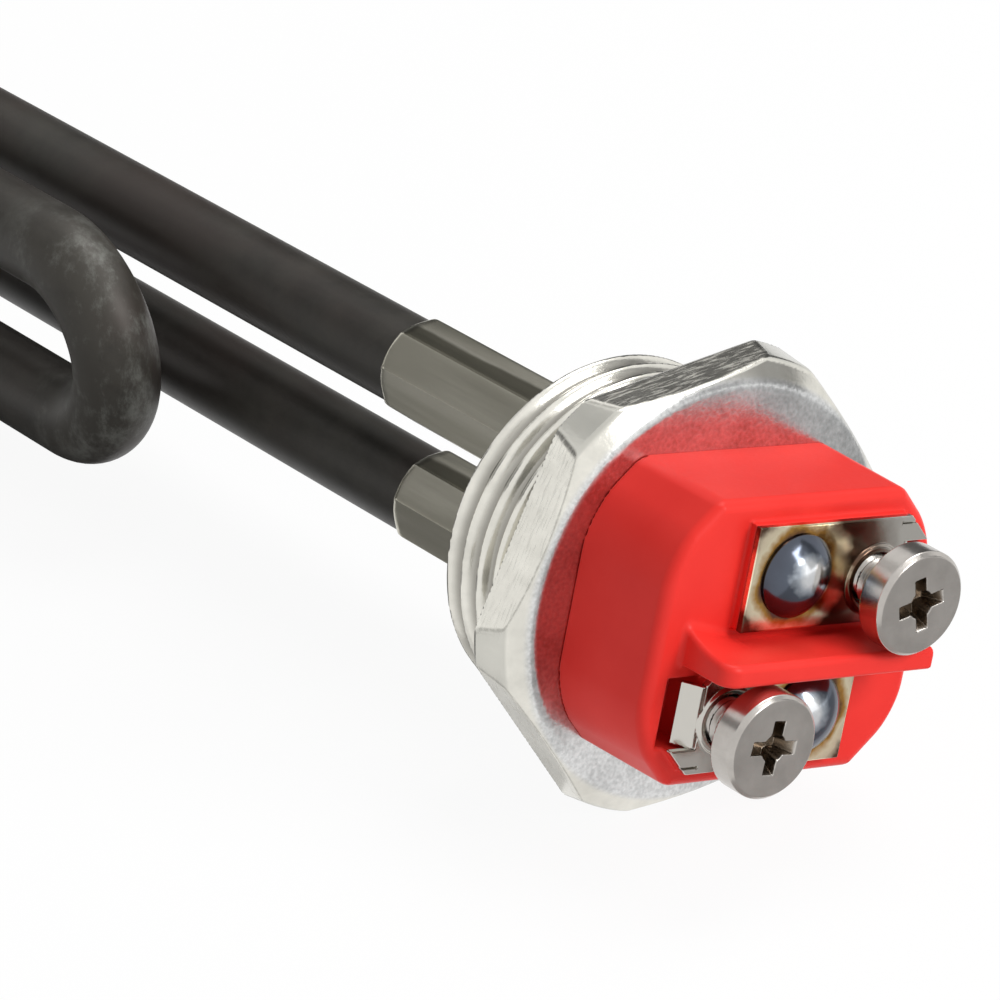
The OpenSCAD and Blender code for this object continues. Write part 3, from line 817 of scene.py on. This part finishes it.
makePlug(plugFinish())
makeBlock(redFinish())
screwPaint = screwFinish()
for name, side in sides.items():
    makeScrew(name, side, screwPaint)
    makePin(name, side, pinFinish(name, side))
    makeSleeve(name, side, sleeveFinish(name, side))
    makePlate(name, side, plateFinish(name, side))
makeTube(tubeFinish())
for name, look in innerLooks.items():
    paintInner(name, look)
print("inner pieces painted")


def around(turn, lean=-0.713):
    # direction at an angle round the heater's axis, leaning back along it
    ring, a = math.sqrt(1 - lean * lean), math.radians(turn)
    return lean, ring * math.cos(a), ring * math.sin(a)


# stage: white floor and world, two softboxes, and cards that show only in the metal
stage = dict(
    floor=-20.02, half=6.0, paper=(0.86, 0.86, 0.86), glow=0.93, world=0.43, matLift=0.1, flagAway=0.6,
    lamps=dict(
        frontBox=dict(place=(0.85, 0.4, 0.55), target=(0, 0, 0), size=0.5, power=8.2),
        topBox=dict(place=(0.0, 0.45, 1.1), target=(-0.02, 0, 0), size=0.6, power=6.4)),
    flags=dict(
        topFlag=dict(aim=around(25.5), width=0.378, height=0.7, shade=0.12),
        cornerFlag=dict(aim=around(101), width=0.17, height=0.6, shade=0.7),
        sideFlag=dict(aim=around(138), width=0.15, height=0.7, shade=0.26),
        rightFlag=dict(aim=(0.66, 0.674, 0.328), width=0.5, height=0.4, shade=0.4)),
    mats=dict(
        frontMat=dict(low=(0.022, -0.02), high=(0.2, 0.15), shade=0.46),
        leftMat=dict(low=(-0.12, -0.075), high=(-0.034, -0.01), shade=0.4),
        nearMat=dict(low=(-0.034, -0.045), high=(-0.002, 0.012), shade=0.4, glow=0.5)))


def addSheet(name, corners, paint):
    mesh = bpy.data.meshes.new(name)
    mesh.from_pydata([tuple(c) for c in corners], [], [(0, 1, 2, 3)])
    mesh.materials.append(paint.owner)
    sheet = addObject(name, mesh)
    return sheet


def flatCorners(low, high, z):
    return [(low[0], low[1], z), (high[0], low[1], z), (high[0], high[1], z), (low[0], high[1], z)]


def makeFloor():
    paint = newPaint("paleFloor", {"Base Color": stage["paper"], "Roughness": 0.9})
    shine = paint.node("ShaderNodeEmission", {}, {"Color": (1.0, 1.0, 1.0), "Strength": 1.0})
    both = paint.node("ShaderNodeMixShader", {}, {0: paint.seen(0.0, stage["glow"]),
                                                  1: Wire(paint, paint.shader.outputs[0]), 2: shine})
    paint.feed(paint.tree.nodes["Material Output"].inputs["Surface"], both)
    half = stage["half"]
    addSheet("floor", flatCorners((-half, -half), (half, half), stage["floor"] * mm), paint)


def makeWorld():
    world = bpy.data.worlds.new("studio")
    bpy.context.scene.world = world
    paint = Paint(world, {"Color": (1.0, 1.0, 1.0)}, "Background")
    paint.set({"Strength": paint.seen(stage["world"], 1.0)})


def makeLamp(name, place, target, size, power):
    lamp = bpy.data.lights.new(name, "AREA")
    lamp.shape = "SQUARE"
    lamp.size = size
    lamp.energy = power
    holder = addObject(name, lamp)
    holder.location = place
    holder.rotation_mode = "QUATERNION"
    holder.rotation_quaternion = (Vector(target) - Vector(place)).to_track_quat("-Z", "Y")


def makeCard(name, corners, shade, glow=0.0):
    paint = newPaint(name + "Cloth", {"Base Color": (shade, shade, shade), "Roughness": 0.9,
                                      "Specular IOR Level": 0.0, "Emission Color": (1.0, 1.0, 1.0),
                                      "Emission Strength": glow})
    card = addSheet(name, corners, paint)
    card.visible_camera = card.visible_shadow = card.visible_diffuse = False


def makeFlag(name, aim, width, height, shade):
    # card that faces the heater from the direction aim
    out = Vector(aim).normalized()
    across = out.cross(Vector((1, 0, 0))).normalized() * width / 2
    up = out.cross(across).normalized() * height / 2
    middle = out * stage["flagAway"]
    low, high = middle - up, middle + up
    makeCard(name, [low - across, low + across, high + across, high - across], shade)


def makeMat(name, low, high, shade, glow=0.0):
    # card that lies on the floor
    makeCard(name, flatCorners(low, high, (stage["floor"] + stage["matLift"]) * mm), shade, glow)


# camera of the photograph: angles in degrees, its place in millimetres right, up and back of the origin
photoView = dict(turn=53.086, height=26.896, roll=-1.337, place=(15.2216, 6.3753, 532.954),
                 lens=216.0, sensor=36.0, near=0.01, far=50)


def makeCamera():
    turn, height, roll = (math.radians(photoView[key]) for key in ("turn", "height", "roll"))
    back = Vector((math.sin(turn) * math.cos(height), -math.cos(turn) * math.cos(height), math.sin(height)))
    level = Vector((math.cos(turn), math.sin(turn), 0))
    upright = back.cross(level)
    right = level * math.cos(roll) + upright * math.sin(roll)
    up = upright * math.cos(roll) - level * math.sin(roll)
    place = Vector(photoView["place"])
    lens = bpy.data.cameras.new("view")
    lens.lens = photoView["lens"]
    lens.sensor_width = photoView["sensor"]
    lens.clip_start = photoView["near"]
    lens.clip_end = photoView["far"]
    stand = Matrix((right, up, back)).transposed().to_4x4()
    stand.translation = (back * place.z - right * place.x + up * place.y) * mm
    camera = addObject("view", lens)
    camera.matrix_world = stand
    bpy.context.scene.camera = camera


makeFloor()
makeWorld()
for name, look in stage["lamps"].items():
    makeLamp(name, **look)
for name, look in stage["flags"].items():
    makeFlag(name, **look)
for name, look in stage["mats"].items():
    makeMat(name, **look)
makeCamera()
bpy.context.scene.view_settings.view_transform = "Standard"
print("stage set")
